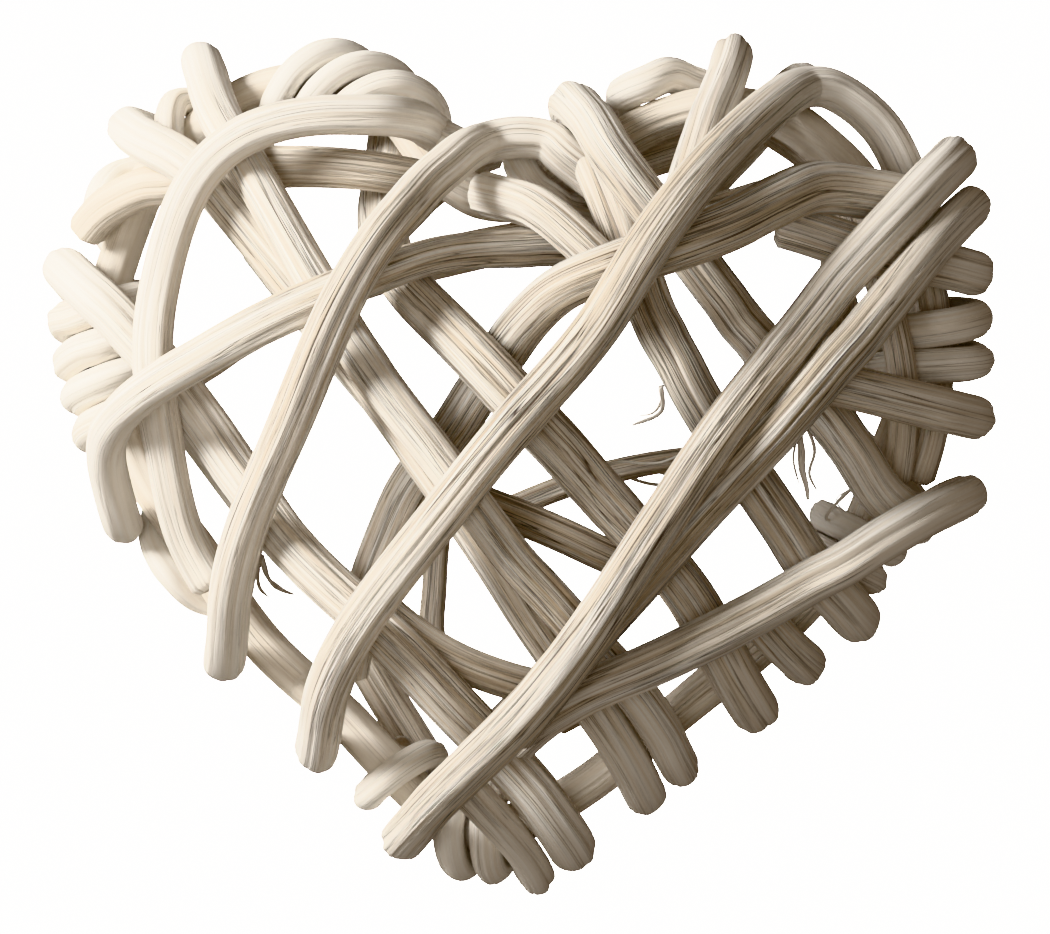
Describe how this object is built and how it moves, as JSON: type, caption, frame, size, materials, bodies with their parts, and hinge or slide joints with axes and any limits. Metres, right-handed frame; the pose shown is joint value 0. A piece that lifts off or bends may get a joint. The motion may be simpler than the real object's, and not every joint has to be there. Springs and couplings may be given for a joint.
{
  "type": "wicker heart decoration",
  "caption": "Hollow, puffed heart woven openly from bleached willow canes that cross the front and back and wrap round a rim hoop.",
  "frame": {"origin": "in the resting plane, under the middle of the heart's outer box", "axes": "+X across the two lobes, to the right as seen from the front; +Y from the tip to the notch between the lobes; +Z from the back, on which it lies, up to the puffed front"},
  "size_m": [0.1188, 0.105, 0.0605],
  "materials": {
    "willow": "whitewashed, dry and matt, with fine dark cracks along the grain",
    "willow_inner": "thinly whitewashed, with more bare wood, inside the weave"
  },
  "bodies": {
    "root": {"cane_arch_left": "willow", "cane_back_low": "willow_inner", "cane_back_sweep": "willow_inner", "cane_centre": "willow", "cane_left_edge": "willow", "cane_left_inner": "willow_inner", "cane_long_diagonal_a": "willow", "cane_long_diagonal_b": "willow", "cane_low_inner_a": "willow_inner", "cane_low_inner_b": "willow_inner", "cane_low_inner_c": "willow_inner", "cane_low_sweep": "willow", "cane_main_diagonal": "willow", "cane_mid_inner_a": "willow_inner", "cane_mid_inner_b": "willow_inner", "cane_notch_short": "willow", "cane_notch_to_left": "willow", "cane_pair_a": "willow", "cane_pair_b": "willow", "cane_right_a": "willow", "cane_right_b": "willow", "cane_right_inner_a": "willow_inner", "cane_right_inner_b": "willow_inner", "cane_right_inner_c": "willow_inner", "cane_right_inner_d": "willow_inner", "cane_right_inner_e": "willow_inner", "cane_right_lobe": "willow", "cane_right_short": "willow", "cane_right_tie_high": "willow", "cane_right_tie_low": "willow", "cane_sweep_left": "willow", "cane_sweep_right": "willow", "cane_tip_short": "willow", "rim_cane_top_a": "willow", "rim_hoop": "willow_inner", "rim_wrap_left_high": "willow", "rim_wrap_left_low": "willow", "rim_wrap_left_top": "willow", "rim_wrap_lobe_top_a": "willow", "rim_wrap_lobe_top_b": "willow", "rim_wrap_lobe_top_c": "willow", "rim_wrap_low_left": "willow", "rim_wrap_low_left_b": "willow", "rim_wrap_notch": "willow", "rim_wrap_right": "willow", "rim_wrap_right_low": "willow", "rim_wrap_tip": "willow"}
  },
  "joints": []
}
